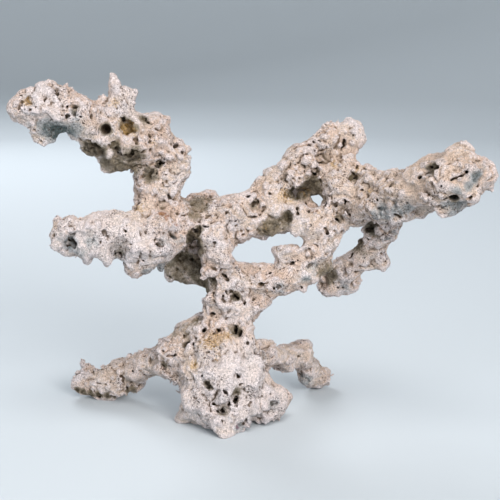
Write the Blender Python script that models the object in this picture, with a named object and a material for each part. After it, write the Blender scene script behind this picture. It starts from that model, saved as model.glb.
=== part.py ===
# A dry reef rock: limestone that grew as one branching piece and stands on a mound and two feet.
# It is parted at its main forks, a limb to each solid. Metres, +Z up. The front faces -Y, and
# the origin lies on the floor under the middle of the rock's box.
import bmesh
import bpy
from mathutils import Matrix, Vector, kdtree, noise
from mathutils.bvhtree import BVHTree

MM = 0.001

# Driving sizes
FORK_GAP = 0.3 * MM          # clear slit between two limbs that meet at a fork
FORK_REACH = 75 * MM         # how far from a fork's point its cut is looked for
GRAIN = 4.0 * MM             # grain of the first, finely divided form
MELT_STEPS = 3               # rounds of smoothing that melt the knuckles together
MELT_SHARE = 0.5             # how far a corner moves towards its neighbours' middle in a round
SWELL_WIDTH = 60 * MM        # broad swellings along the limbs
SWELL_HEIGHT = 6 * MM
SWELL_OCTAVES = 2            # each half as wide and half as high as the one before
GROWTH = 1.5 * MM            # all round, to make up for what the smoothing takes
KNOB_WIDTH = 24 * MM         # knobs, with creases between them
KNOB_HEIGHT = 13 * MM
CRUST_WIDTH = 11 * MM        # the small lumps on the knobs
CRUST_HEIGHT = 4 * MM
CELL_REACH = 0.42            # usual distance to a knob's middle, in knob widths
ROCK_FACETS = 7400           # triangles of the whole rock before its pits and forks are cut
SNAP = 0.5 * MM              # corners this near a cut are moved onto it
MERGE = 0.05 * MM            # corners this near each other are one
CREASE_ANGLE = 1.0           # radians between facets that stay sharp
KNUCKLE_DIVISIONS = 3        # subdivisions of the ball at each knuckle
BAR_SIDES = 20

# Each limb is a run of knuckles: x, y, z and radius in millimetres. A bar joins one to the next.
LIMBS = {
    "base_mound": [(-22, 0, 124, 30), (-30, -2, 102, 38), (-35, -5, 78, 52), (-30, -17, 55, 56),
                   (-28, -34, 33, 44)],
    "left_foot": [(-84, 10, 72, 32), (-114, 34, 60, 22), (-141, 52, 49, 17), (-164, 64, 33, 22),
                  (-190, 72, 21, 24), (-212, 75, 22, 22)],
    "right_foot": [(-2, 12, 70, 28), (26, 36, 70, 19), (47, 60, 61, 19), (70, 88, 51, 18),
                   (80, 104, 30, 16), (91, 114, 11, 15)],
    "trunk": [(-22, 0, 124, 30), (-22, 0, 145, 31), (-20, 0, 160, 32), (-30, 4, 178, 25)],
    "front_column": [(-30, 4, 178, 24), (-41, -18, 210, 20), (-41, -15, 230, 20), (-34, -4, 250, 22)],
    "back_rib": [(-36, 14, 173, 21), (-61, 32, 181, 19), (-83, 36, 188, 18), (-99, 34, 196, 17),
                 (-97, 20, 224, 18)],
    "left_arm": [(-70, 2, 256, 22), (-96, -10, 250, 27), (-92, -18, 242, 26), (-110, -32, 238, 30),
                 (-138, -40, 236, 30), (-167, -50, 243, 25), (-194, -60, 245, 24), (-221, -67, 249, 17)],
    "upper_neck": [(-96, -10, 250, 27), (-110, -6, 275, 29), (-110, -3, 301, 29), (-97, -2, 322, 25),
                   (-109, -4, 343, 26)],
    "upper_arm": [(-109, -4, 343, 26), (-123, -10, 350, 28), (-151, -15, 354, 34), (-174, -22, 368, 29),
                  (-197, -30, 383, 25), (-222, -38, 394, 28), (-246, -46, 396, 22), (-262, -52, 388, 17)],
    "bridge": [(-70, 2, 256, 22), (-47, 2, 256, 22), (-19, 2, 256, 27), (5, 5, 256, 26), (31, 8, 256, 24),
               (53, 12, 259, 22)],
    "peak": [(15, 14, 286, 15), (36, 18, 296, 21), (59, 20, 317, 26), (82, 22, 331, 26), (98, 25, 346, 20),
             (110, 28, 357, 17), (115, 28, 366, 11)],
    "right_arm": [(115, 12, 306, 24), (121, 5, 280, 27), (139, -5, 281, 31), (163, -25, 288, 31),
                  (190, -45, 294, 31), (213, -65, 303, 33), (233, -85, 314, 37), (250, -98, 320, 25)],
    "lower_strut": [(-20, 0, 160, 30), (2, 0, 171, 20), (22, 2, 173, 19), (44, 0, 182, 21),
                    (64, -2, 195, 23), (84, -2, 212, 21)],
    "riser": [(84, -2, 212, 21), (86, 0, 232, 22), (80, 0, 244, 20), (101, 4, 254, 17), (121, 5, 280, 25)],
    "hanging_branch": [(159, -10, 275, 22), (164, 8, 250, 20), (161, 22, 223, 18), (148, 35, 202, 17),
                       (128, 45, 184, 18), (108, 53, 166, 18)],
}

# Lumps, spurs, toes and horns that stand out of a limb, in the same form
LUMPS = {
    "base_mound": [(-71, -24, 12, 20), (-52, -34, 17, 23), (-33, -65, 12, 20), (31, -14, 28, 22),
                   (32, -24, 14, 16), (-72, 12, 106, 22), (-62, 14, 116, 16), (-91, 6, 76, 28),
                   (-4, -38, 34, 27), (20, -36, 14, 16), (-30, 34, 60, 36), (-62, 28, 30, 26),
                   (0, 22, 34, 28)],
    "left_foot": [(-220, 75, 44, 6), (-219, 75, 50, 5), (-232, 75, 24, 12), (-200, 66, 10, 14),
                  (-176, 76, 9, 13)],
    "right_foot": [(76, 88, 62, 7), (94, 114, 22, 10)],
    "trunk": [(-36, -15, 151, 16), (-6, -12, 143, 17), (-28, 20, 150, 22), (8, -2, 150, 13)],
    "front_column": [(-54, -22, 194, 12)],
    "back_rib": [(-101, 34, 176, 10), (-78, 42, 178, 12)],
    "left_arm": [(-139, -42, 203, 14), (-126, -38, 207, 13), (-170, -50, 218, 11), (-172, -50, 207, 7),
                 (-197, -58, 215, 9), (-214, -62, 224, 11), (-228, -66, 235, 10), (-148, -20, 238, 22),
                 (-92, 14, 246, 22), (-112, -12, 201, 14), (-77, 26, 228, 14), (-145, -39, 201, 9)],
    "upper_neck": [(-130, -16, 270, 14), (-93, 8, 302, 20)],
    "upper_arm": [(-112, -4, 368, 17), (-152, -15, 398, 15), (-165, -15, 400, 11), (-175, -18, 395, 12),
                  (-157, -15, 410, 8), (-160, -15, 418, 7), (-162, -15, 424, 5), (-139, -15, 411, 6),
                  (-143, -15, 403, 8), (-166, -18, 331, 15), (-193, -22, 346, 12), (-181, -20, 335, 11),
                  (-147, -15, 331, 16), (-249, -45, 361, 10), (-231, -42, 367, 15), (-216, -38, 368, 12),
                  (-257, -48, 377, 12), (-128, -12, 330, 14), (-160, 4, 352, 26), (-268, -48, 394, 14),
                  (-163, -14, 430, 5), (-138, -14, 412, 6), (-101, -2, 377, 10)],
    "bridge": [(-69, 25, 270, 15), (-53, 28, 269, 14), (20, 22, 262, 20), (-20, 2, 247, 25),
               (10, 5, 249, 22), (48, 8, 247, 18)],
    "peak": [(6, 14, 286, 11), (17, 16, 296, 9), (56, 20, 330, 13), (98, 18, 314, 24), (136, 8, 299, 15),
             (120, 24, 340, 12), (78, 26, 290, 15), (84, 20, 302, 14), (127, 26, 352, 10),
             (126, 27, 366, 8)],
    "right_arm": [(262, -105, 318, 15), (236, -84, 343, 16), (256, -98, 337, 12), (224, -84, 283, 16),
                  (240, -94, 286, 13), (202, -60, 274, 13), (126, 0, 261, 16), (176, -34, 314, 12),
                  (270, -98, 319, 12)],
    "lower_strut": [(33, -10, 212, 12), (49, -8, 214, 12), (64, -6, 211, 11), (4, -2, 186, 9),
                    (82, -4, 196, 16), (85, -2, 187, 9), (95, 2, 196, 8)],
    "riser": [(62, 5, 255, 17), (112, -2, 246, 12), (94, 0, 226, 10)],
    "hanging_branch": [(171, 28, 192, 11), (124, 50, 153, 9), (99, 53, 155, 12), (156, 34, 191, 14)],
}

# Open pits: a point on the surface as x, y, z, then the pit's radius, in millimetres
PITS = [
    (-169, -49, 369, 9), (-145, -42, 372, 12), (-257, -65, 402, 8), (-244, -59, 384, 7),
    (-157, -45, 347, 10), (-140, -42, 342, 8), (-109, -26, 324, 9), (-90, -18, 345, 7),
    (-127, -22, 378, 7), (-211, -62, 390, 8), (-186, -50, 357, 8),
    (-209, -81, 239, 12), (-155, -66, 222, 11), (-132, -60, 215, 8), (-108, -61, 237, 8),
    (-91, -49, 240, 11), (-104, -48, 263, 7),
    (-44, -34, 201, 9), (-31, -28, 191, 10), (-49, -16, 180, 10), (-18, -30, 164, 12), (-44, -24, 137, 7),
    (-58, -25, 119, 7), (-38, -35, 121, 7), (-16, -36, 120, 11),
    (6, -11, 276, 9), (46, -14, 256, 12), (78, 1, 309, 7), (115, 11, 347, 7), (127, -10, 307, 9),
    (76, 0, 342, 8),
    (205, -98, 330, 7), (212, -107, 334, 7), (230, -117, 299, 9), (195, -92, 318, 6), (178, -65, 321, 6),
    (136, -38, 293, 7), (95, -8, 274, 7), (108, -13, 261, 10), (238, -121, 325, 7),
    (152, 2, 242, 12), (116, 32, 158, 8), (60, -18, 206, 8), (71, -22, 214, 8), (25, -12, 190, 6),
    (-78, -26, 99, 8), (15, -36, 89, 10), (-13, -69, 72, 8), (-50, -66, 63, 10), (-16, -70, 49, 11),
    (-35, -79, 33, 9), (-24, -78, 31, 9), (26, -41, 26, 10), (-164, 45, 20, 7),
]
PIT_DEPTH = 1.1              # depth of a pit in radii
HOLE_SPACING = 46 * MM       # the scattered hollows that every side has
HOLE_SIZE = 0.24             # their radius in spacings
HOLE_DEPTH = 9 * MM

# Each fork: a point in the middle of the cut, and the direction in which the cut is crossed
FORKS = [
    ((-24, 0, 137), (0, 0, 1)),             # base_mound to trunk
    ((-112, 32, 62), (-0.85, 0.5, -0.2)),   # base_mound to left_foot
    ((33, 43, 66), (0.62, 0.78, -0.1)),     # base_mound to right_foot
    ((-37, -8, 194), (-0.3, -0.5, 0.81)),   # trunk to front_column
    ((-42, -14, 221), (0, 0.2, 1)),         # front_column to bridge
    ((-62, 32, 179), (-0.9, 0.2, 0.3)),     # trunk to back_rib
    ((-98, 28, 207), (0.1, -0.4, 0.9)),     # back_rib to left_arm
    ((10, 1, 171), (1, 0, 0)),              # trunk to lower_strut
    ((85, -1, 226), (0.05, 0, 1)),          # lower_strut to riser
    ((-110, -5, 287), (-0.1, 0, 1)),        # left_arm to upper_neck
    ((-101, -3, 331), (-0.35, 0, 0.94)),    # upper_neck to upper_arm
    ((-57, 0, 254), (1, 0, 0)),             # left_arm to bridge
    ((44, 18, 294), (0.45, 0, 0.89)),       # bridge to peak
    ((60, 8, 258), (1, 0, 0.1)),            # bridge to riser
    ((107, 4, 262), (0.67, 0, 0.74)),       # riser to right_arm
    ((112, 12, 300), (0.6, -0.3, -0.75)),   # peak to right_arm
    ((163, 14, 238), (0, 0.45, -0.9)),      # right_arm to hanging_branch
]

# Colour of each limb (linear) and the roughness they share
CREAM = (0.62, 0.53, 0.44)
GREY = (0.45, 0.42, 0.40)
SAND = (0.55, 0.46, 0.36)
DRY_ROUGHNESS = 0.95
TINTS = {"back_rib": GREY, "hanging_branch": GREY, "left_foot": SAND, "right_foot": SAND}


def clear_scene():
    for old in list(bpy.data.objects):
        bpy.data.objects.remove(old, do_unlink=True)


def in_metres(knuckle):
    x, y, z, radius = (value * MM for value in knuckle)
    return Vector((x, y, z)), radius


def add_ball(bm, knuckle):
    centre, radius = in_metres(knuckle)
    bmesh.ops.create_icosphere(bm, subdivisions=KNUCKLE_DIVISIONS, radius=radius,
                               matrix=Matrix.Translation(centre))


def add_bar(bm, first, second):
    start, start_radius = in_metres(first)
    end, end_radius = in_metres(second)
    along = end - start
    turn = along.to_track_quat("Z", "Y").to_matrix().to_4x4()
    bmesh.ops.create_cone(bm, cap_ends=True, segments=BAR_SIDES, radius1=start_radius, radius2=end_radius,
                          depth=along.length, matrix=Matrix.Translation((start + end) / 2) @ turn)


def object_from(bm, name):
    mesh = bpy.data.meshes.new(name)
    bm.to_mesh(mesh)
    bm.free()
    made = bpy.data.objects.new(name, mesh)
    bpy.context.collection.objects.link(made)
    return made


def rough_form():
    """Every knuckle, bar and lump of the rock, still loose in one mesh."""
    bm = bmesh.new()
    for run in LIMBS.values():
        for first, second in zip(run, run[1:]):
            add_bar(bm, first, second)
        for knuckle in run:
            add_ball(bm, knuckle)
    for lumps in LUMPS.values():
        for lump in lumps:
            add_ball(bm, lump)
    return object_from(bm, "rock")


def settle(rock):
    """Bakes the modifiers of the rock into its mesh."""
    depsgraph = bpy.context.evaluated_depsgraph_get()
    mesh = bpy.data.meshes.new_from_object(rock.evaluated_get(depsgraph))
    rock.modifiers.clear()
    rock.data = mesh


def grow_together(rock):
    """Joins what overlaps into one skin of even grain."""
    skin = rock.modifiers.new("skin", "REMESH")
    skin.mode = "VOXEL"
    skin.voxel_size = GRAIN
    settle(rock)


def relief(place):
    """How far the surface stands out at a place: swellings, knobs with creases, and crust."""
    swell = noise.fractal(place / SWELL_WIDTH, 1.0, 2.0, SWELL_OCTAVES) * SWELL_HEIGHT
    knob = (CELL_REACH - noise.voronoi(place / KNOB_WIDTH)[0][0]) * KNOB_HEIGHT
    crust = (CELL_REACH - noise.voronoi(place / CRUST_WIDTH)[0][0]) * CRUST_HEIGHT
    hole = max(0.0, 1 - noise.voronoi(place / HOLE_SPACING)[0][0] / HOLE_SIZE)
    return GROWTH + swell + knob + crust - hole * HOLE_DEPTH


def sink_pits(bm):
    """Presses each pit into the surface about its point, straight in."""
    tree = kdtree.KDTree(len(bm.verts))
    for corner in bm.verts:
        tree.insert(corner.co, corner.index)
    tree.balance()
    for pit in PITS:
        point, radius = in_metres(pit)
        near = [(bm.verts[index], gap / radius) for _, index, gap in tree.find_range(point, radius)]
        inward = -sum((corner.normal for corner, _ in near), Vector()).normalized()
        for corner, share in near:
            corner.co += inward * (1 - share * share) * radius * PIT_DEPTH


def weather(rock):
    """Melts the knuckles together, then lets knobs, creases and pits form in them."""
    bm = bmesh.new()
    bm.from_mesh(rock.data)
    bm.verts.ensure_lookup_table()
    for _ in range(MELT_STEPS):
        bmesh.ops.smooth_vert(bm, verts=bm.verts, factor=MELT_SHARE,
                               use_axis_x=True, use_axis_y=True, use_axis_z=True)
    bm.normal_update()
    for corner in bm.verts:
        corner.co += corner.normal * relief(corner.co)
    sink_pits(bm)
    bm.to_mesh(rock.data)
    bm.free()


def thin_out(rock):
    facets = sum(len(face.vertices) - 2 for face in rock.data.polygons)
    fewer = rock.modifiers.new("fewer", "DECIMATE")
    fewer.ratio = ROCK_FACETS / facets
    fewer.use_collapse_triangulate = True
    settle(rock)


def closed_loops(edges):
    """Sorts loose edges into the loops that they form."""
    waiting = set(edges)
    loops = []
    while waiting:
        edge = waiting.pop()
        loop, front = [edge], list(edge.verts)
        while front:
            for near in front.pop().link_edges:
                if near in waiting:
                    waiting.remove(near)
                    loop.append(near)
                    front.extend(near.verts)
        loops.append(loop)
    return loops


def middle(loop):
    corners = {corner for edge in loop for corner in edge.verts}
    return sum((corner.co for corner in corners), Vector()) / len(corners)


def cap(bm, loop):
    made = bmesh.ops.edgeloop_fill(bm, edges=loop)
    bmesh.ops.triangulate(bm, faces=made["faces"])


def cut_flat_below(bm):
    """Cuts the feet off level with the floor, so that the rock rests on flat faces."""
    cut = bmesh.ops.bisect_plane(bm, geom=bm.verts[:] + bm.edges[:] + bm.faces[:], dist=SNAP,
                                 use_snap_center=True, plane_co=(0, 0, 0), plane_no=(0, 0, 1),
                                 clear_inner=True)
    edges = [part for part in cut["geom_cut"] if isinstance(part, bmesh.types.BMEdge) and part.is_boundary]
    for loop in closed_loops(edges):
        cap(bm, loop)


def cut_fork(bm, point, across):
    """Parts the limb that the point lies in, and opens the slit by half its width to each side."""
    point, across = Vector(point) * MM, Vector(across).normalized()
    near = [face for face in bm.faces if (face.calc_center_median() - point).length < FORK_REACH]
    edges = {edge for face in near for edge in face.edges}
    corners = {corner for face in near for corner in face.verts}
    cut = bmesh.ops.bisect_plane(bm, geom=list(corners) + list(edges) + near, dist=SNAP,
                                 use_snap_center=True, plane_co=point, plane_no=across)
    edges = [part for part in cut["geom_cut"] if isinstance(part, bmesh.types.BMEdge)]
    loop = min(closed_loops(edges), key=lambda ring: (middle(ring) - point).length)
    bmesh.ops.dissolve_edges(bm, edges=list(set(edges) - set(loop)), use_verts=True)
    opened = bmesh.ops.split_edges(bm, edges=loop)["edges"]
    for corner in {corner for edge in opened for corner in edge.verts}:
        side = sum((face.calc_center_median() - corner.co).dot(across) for face in corner.link_faces)
        corner.co += across * (FORK_GAP / 2 if side > 0 else -FORK_GAP / 2)
    for ring in closed_loops(opened):
        cap(bm, ring)


def part_limbs(bm):
    cut_flat_below(bm)
    for point, across in FORKS:
        cut_fork(bm, point, across)
    bmesh.ops.remove_doubles(bm, verts=bm.verts, dist=MERGE)
    bmesh.ops.triangulate(bm, faces=bm.faces)
    bmesh.ops.recalc_face_normals(bm, faces=bm.faces)


def separate_bodies(bm):
    """The faces of each closed body in the mesh."""
    waiting = set(bm.faces)
    bodies = []
    for first in bm.faces:
        if first not in waiting:
            continue
        waiting.remove(first)
        body, front = [first], [first]
        while front:
            for edge in front.pop().edges:
                for face in edge.link_faces:
                    if face in waiting:
                        waiting.remove(face)
                        body.append(face)
                        front.append(face)
        bodies.append(body)
    return bodies


def heart(name):
    """The middle knuckle of a limb, which lies well inside it."""
    run = LIMBS[name]
    return in_metres(run[(len(run) - 1) // 2])[0]


def mesh_of(name, body):
    """A mesh of one body, measured from its limb's heart."""
    corners = {}
    for face in body:
        for corner in face.verts:
            corners.setdefault(corner, len(corners))
    mesh = bpy.data.meshes.new(name)
    places = [corner.co - heart(name) for corner in corners]
    mesh.from_pydata(places, [], [[corners[corner] for corner in face.verts] for face in body])
    return mesh


def distance_from_heart(mesh):
    """How near a mesh comes to its origin. The body about a heart is the nearest to it."""
    tree = BVHTree.FromPolygons([corner.co for corner in mesh.vertices],
                                [face.vertices for face in mesh.polygons])
    return tree.find_nearest(Vector())[3]


def dry_stone(name):
    stone = bpy.data.materials.new(name + "_stone")
    stone.use_nodes = True
    shader = stone.node_tree.nodes["Principled BSDF"]
    shader.inputs["Base Color"].default_value = (*TINTS.get(name, CREAM), 1)
    shader.inputs["Roughness"].default_value = DRY_ROUGHNESS
    shader.inputs["Metallic"].default_value = 0
    return stone


def add_limb(name, bodies, root):
    """Makes the object of the body that lies about the limb's heart."""
    mesh = min((mesh_of(name, body) for body in bodies), key=distance_from_heart)
    mesh.shade_smooth()
    mesh.set_sharp_from_angle(angle=CREASE_ANGLE)
    mesh.materials.append(dry_stone(name))
    limb = bpy.data.objects.new(name, mesh)
    limb.location = heart(name)
    limb.parent = root
    bpy.context.collection.objects.link(limb)


def root_over_middle(bm):
    """An empty that brings the middle of the rock's box over the origin."""
    across = [corner.co.x for corner in bm.verts]
    back = [corner.co.y for corner in bm.verts]
    root = bpy.data.objects.new("reef_rock", None)
    root.location = (-(min(across) + max(across)) / 2, -(min(back) + max(back)) / 2, 0)
    bpy.context.collection.objects.link(root)
    return root


def build_rock():
    rock = rough_form()
    grow_together(rock)
    weather(rock)
    grow_together(rock)
    thin_out(rock)
    bm = bmesh.new()
    bm.from_mesh(rock.data)
    bpy.data.objects.remove(rock, do_unlink=True)
    part_limbs(bm)
    bodies = separate_bodies(bm)
    assert len(bodies) == len(LIMBS), len(bodies)
    root = root_over_middle(bm)
    for name in LIMBS:
        add_limb(name, bodies, root)
    bm.free()


clear_scene()
build_rock()
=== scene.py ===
import math
import bpy
import numpy as np
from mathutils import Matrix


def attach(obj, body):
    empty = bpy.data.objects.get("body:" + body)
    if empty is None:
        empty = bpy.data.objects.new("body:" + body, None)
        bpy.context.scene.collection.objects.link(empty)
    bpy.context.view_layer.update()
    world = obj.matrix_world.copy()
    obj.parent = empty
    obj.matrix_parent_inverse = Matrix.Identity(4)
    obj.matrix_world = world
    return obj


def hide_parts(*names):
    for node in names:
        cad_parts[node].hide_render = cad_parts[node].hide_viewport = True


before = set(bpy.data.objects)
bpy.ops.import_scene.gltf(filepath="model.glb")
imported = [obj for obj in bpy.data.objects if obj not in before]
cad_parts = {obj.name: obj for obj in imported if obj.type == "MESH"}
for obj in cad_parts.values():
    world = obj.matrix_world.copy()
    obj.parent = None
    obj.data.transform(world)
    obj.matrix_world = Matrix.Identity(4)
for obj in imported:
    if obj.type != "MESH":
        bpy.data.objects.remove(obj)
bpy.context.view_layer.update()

import openvdb
from mathutils import Vector
from mathutils.bvhtree import BVHTree

# The rock's skin starts as the distance to its solids. It is smoothed, carved, coloured and parted again, so
# that each limb has a piece of its own.
mm = 0.001
chance = np.random.default_rng(7)

# The camera stands where the photograph was taken from. Lengths here are in metres.
photo = {
    "place": (0.0004, -1.4539, 0.500),
    "aim": (0.0004, -0.0039, 0.215),
    "width": 500,              # pixels, and as many high
    "focal": 1192,             # pixels
    "sensor": 36,
}


def lookingAt(place, aim):              # turn of a camera or a lamp at place
    return (Vector(aim) - Vector(place)).to_track_quat("-Z", "Y").to_euler()


def addCamera():
    lens = bpy.data.cameras.new("photoCamera")
    lens.sensor_width = photo["sensor"]
    lens.lens = photo["sensor"] * photo["focal"] / photo["width"]
    camera = bpy.data.objects.new("photoCamera", lens)
    bpy.context.scene.collection.objects.link(camera)
    camera.location = photo["place"]
    camera.rotation_euler = lookingAt(photo["place"], photo["aim"])
    bpy.context.scene.camera = camera


# Everything about the rock's form is in millimetres from here on.
eye = np.array(photo["place"]) / mm
forward = np.array(photo["aim"]) / mm - eye
forward = forward / np.linalg.norm(forward)
rightward = np.array([1.0, 0.0, 0.0])
upward = np.cross(rightward, forward)


def sightLine(u, v):           # direction from the eye through a pixel of the photograph
    middle, focal = photo["width"] / 2, photo["focal"]
    line = forward + rightward * (u - middle) / focal - upward * (v - middle) / focal
    return line / np.linalg.norm(line)


def atDepth(u, v, y):          # where that line is y millimetres back from the rock's middle
    line = sightLine(u, v)
    return eye + line * (y - eye[1]) / line[1]


# Signed distance to the rock on an even grid, negative inside it
class Field:
    def __init__(self, low, step, data):
        self.low, self.step, self.data = np.array(low, float), step, data

    def near(self, centre, reach):      # part of the grid round a point, and its offsets from there
        first = np.clip(((centre - reach - self.low) / self.step).astype(int), 0, self.data.shape)
        last = np.clip(((centre + reach - self.low) / self.step).astype(int) + 2, 0, self.data.shape)
        part = tuple(slice(a, b) for a, b in zip(first, last))
        ticks = [(self.low[k] + np.arange(first[k], last[k]) * self.step - centre[k]).astype(np.float32)
                 for k in range(3)]
        return part, np.ix_(*ticks)

    def at(self, points):               # distances at points, between the grid's own
        spot = (points - self.low) / self.step
        base = np.clip(np.floor(spot).astype(int), 0, np.array(self.data.shape) - 2)
        share = spot - base
        total = np.zeros(len(points))
        for corner in np.ndindex(2, 2, 2):
            weight = np.prod(np.where(corner, share, 1 - share), axis=1)
            total += weight * self.data[tuple((base + corner).T)]
        return total


def smoothLeast(first, second, blend):  # joins two forms with a fillet
    share = np.clip(0.5 + 0.5 * (second - first) / blend, 0, 1)
    return second + (first - second) * share - blend * share * (1 - share)


def smoothMost(first, second, blend):
    return -smoothLeast(-first, -second, blend)


def blur(data, sigma):                  # sigma in grid steps
    sigmas = 2.5               # that the weights reach out
    reach = int(math.ceil(sigma * sigmas))
    weights = np.exp(-0.5 * (np.arange(reach + 1) / sigma) ** 2)
    weights = (weights / (weights[0] + 2 * weights[1:].sum())).astype(np.float32)
    for axis in range(3):
        total = data * weights[0]
        for k in range(1, reach + 1):
            total += (np.roll(data, k, axis) + np.roll(data, -k, axis)) * weights[k]
        data = total
    return data


def finer(data):                        # twice as many grid steps, the new values halfway between the old
    for axis in range(3):
        a = np.moveaxis(data, axis, 0)
        made = np.empty((a.shape[0] * 2 - 1,) + a.shape[1:], np.float32)
        made[::2] = a
        made[1::2] = (a[:-1] + a[1:]) / 2
        data = np.moveaxis(made, 0, axis)
    return np.ascontiguousarray(data)


form = {
    "grain": 1.3,              # step of the finest grid
    "quickGrain": 1.9,
    "margin": 18,              # room round the solids
    "band": 7,                 # coarse steps each side in which distances are known
    "skinBand": 3,             # steps each side that a skin is drawn from
    "closeForks": 0.5,         # takes the slits between the limbs' solids up
    "melt": 2.6,               # width over which their facets are smoothed away
}


def cadTriangles():
    points, triangles, owners = [], [], []
    count = 0
    for name, node in sorted(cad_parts.items()):
        mesh = node.data
        mesh.calc_loop_triangles()
        corners = np.empty(len(mesh.vertices) * 3, np.float32)
        mesh.vertices.foreach_get("co", corners)
        faces = np.empty(len(mesh.loop_triangles) * 3, np.int32)
        mesh.loop_triangles.foreach_get("vertices", faces)
        points.append(corners.reshape(-1, 3) / mm)
        triangles.append(faces.reshape(-1, 3) + count)
        owners += [name] * len(mesh.loop_triangles)
        count += len(mesh.vertices)
    return np.concatenate(points), np.concatenate(triangles), owners


def coarseField(points, triangles, step):
    low = points.min(0) - form["margin"]
    shape = np.ceil((points.max(0) + form["margin"] - low) / step).astype(int) + 1
    place = openvdb.createLinearTransform([[step, 0, 0, 0], [0, step, 0, 0], [0, 0, step, 0], [*low, 1]])
    grid = openvdb.FloatGrid.createLevelSetFromPolygons(
        points.astype(np.float32), triangles.astype(np.uint32), transform=place, halfWidth=form["band"])
    data = np.empty(tuple(shape), np.float32)
    grid.copyToArray(data)
    return Field(low, step, blur(data - form["closeForks"], form["melt"] / step))


def skinOf(field):                      # the quads of the surface where the distance is nought
    step, reach = field.step, form["skinBand"] * field.step
    grid = openvdb.FloatGrid(reach)
    grid.transform = openvdb.createLinearTransform([[step, 0, 0, 0], [0, step, 0, 0], [0, 0, step, 0],
                                                    [*field.low, 1]])
    grid.copyFromArray(np.clip(field.data, -reach, reach))
    points, quads = grid.convertToQuads()
    return points.astype(np.float64), quads.astype(np.int64)


def normalsOf(points, quads):
    a, b, c, d = (points[quads[:, k]] for k in range(4))
    across = np.cross(c - a, d - b)
    normals = np.zeros_like(points)
    for k in range(4):
        for axis in range(3):
            normals[:, axis] += np.bincount(quads[:, k], across[:, axis], len(points))
    return normals / np.maximum(np.linalg.norm(normals, axis=1, keepdims=True), 1e-9)


# A block of noise whose lumps are about so many millimetres wide. It can be laid over the grid again and
# again, because its sides meet.
def noiseTile(size, width, step, seed):
    rough = np.random.default_rng(seed).standard_normal((size,) * 3).astype(np.float32)
    along, last = np.fft.fftfreq(size), np.fft.rfftfreq(size)
    pitch = np.sqrt(along[:, None, None] ** 2 + along[None, :, None] ** 2 + last[None, None, :] ** 2)
    wanted = step / (2 * width)
    spread = 0.35 * wanted     # lumps differ in width by about a third
    keep = np.exp(-0.5 * ((pitch - wanted) / spread) ** 2)
    tile = np.fft.irfftn(np.fft.rfftn(rough) * keep, s=rough.shape, axes=(0, 1, 2)).astype(np.float32)
    return tile / tile.std()


def laidOver(tile, part):               # the tile's values over a part of the grid, given as slices
    size = tile.shape[0]
    return tile[np.ix_(*[np.arange(one.start, one.stop) % size for one in part])]


def wholeOf(field):
    return tuple(slice(0, count) for count in field.data.shape)


relief = {
    "patchWidth": 42, "patchContrast": 0.6,            # smooth and rough patches take turns
    "smoothest": 0.25,         # relief that a smooth patch keeps
    "swellWidth": 24, "swellHeight": 1.8,
    "knobWidth": 12, "knobHeight": 1.9,
    "crustWidth": 4.6, "crustHeight": 0.95,
    "grainWidth": 2.4, "grainHeight": 0.3,
    "crackPatchWidth": 34, "crackSpread": 0.3,         # cracks follow the creases between knobs
    "crackShare": 0.14, "crackDepth": 2.8,
    "pocketWidth": 8.5, "pocketsFrom": 2.25, "pocketSlope": 6.0, "pocketDepth": 4.0, "pocketRagged": 0.45,
    "usual": 0.8,              # usual size of a number whose spread is 1
    "blocks": {                # steps a side, all different so that they never repeat together, and seed
        "patch": (128, 11), "swell": (120, 12), "knob": (112, 13), "crust": (100, 14),
        "grain": (90, 15), "crackPatch": (108, 16), "pocket": (104, 17),
    },
}


def reliefNoise(name, field):
    size, seed = relief["blocks"][name]
    return laidOver(noiseTile(size, relief[name + "Width"], field.step, seed), wholeOf(field))


def roughPatches(field):                # 1 where the surface is rough, less where it is smooth
    share = np.clip(0.5 + relief["patchContrast"] * reliefNoise("patch", field), 0, 1)
    return share * (1 - relief["smoothest"]) + relief["smoothest"]


def addRelief(field):
    rough = roughPatches(field)
    swell = reliefNoise("swell", field)
    knobs = np.abs(reliefNoise("knob", field))
    crust = np.abs(reliefNoise("crust", field))
    grain = reliefNoise("grain", field)
    cracked = np.clip(reliefNoise("crackPatch", field) + relief["crackSpread"], 0, 1)
    pocket = reliefNoise("pocket", field)
    field.data -= swell * relief["swellHeight"]
    field.data -= (knobs - relief["usual"]) * rough * relief["knobHeight"]
    field.data -= (crust - relief["usual"]) * rough * relief["crustHeight"]
    field.data -= grain * rough * relief["grainHeight"]
    field.data += np.clip(1 - knobs / relief["crackShare"], 0, 1) * cracked * relief["crackDepth"]
    pocket += (crust - relief["usual"]) * relief["pocketRagged"]
    pocket = (pocket - relief["pocketsFrom"]) * relief["pocketSlope"]
    field.data += np.clip(pocket, 0, relief["pocketDepth"])


# An egg-shaped form with three half-widths along three axes at right angles
def podDistance(offsets, axes, reaches):
    total = 0
    for axis, reach in zip(axes, reaches):
        x, y, z = (offset * np.float32(share) for offset, share in zip(offsets, axis))
        total = total + ((x + y + z) / np.float32(reach)) ** 2
    return (np.sqrt(total) - 1) * np.float32(min(reaches))


def addPod(field, centre, axes, reaches, blend=2.0):
    part, offsets = field.near(centre, max(reaches) + 2 * blend)
    field.data[part] = smoothLeast(field.data[part], podDistance(offsets, axes, reaches), blend)


def cutPod(field, centre, axes, reaches, blend=0.8, rough=None, roughness=0.0):
    ragged = min(roughness, 0.5 * min(reaches))        # a small pod stays whole
    most = 2                   # noise past this counts as this
    room = 1 + 1.1 * most * ragged / min(reaches)
    part, offsets = field.near(centre, max(reaches) * room + 2 * blend)
    pod = podDistance(offsets, axes, reaches)
    if rough is not None:
        pod = pod + np.clip(laidOver(rough, part), -most, most) * ragged
    field.data[part] = smoothMost(field.data[part], -pod, blend)


def axesAbout(inward, hint):            # inward, then two directions across it, the first near the hint
    across = np.cross(inward, np.cross(hint, inward))
    across = across / (np.linalg.norm(across) + 1e-9)
    return inward, across, np.cross(inward, across)


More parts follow.
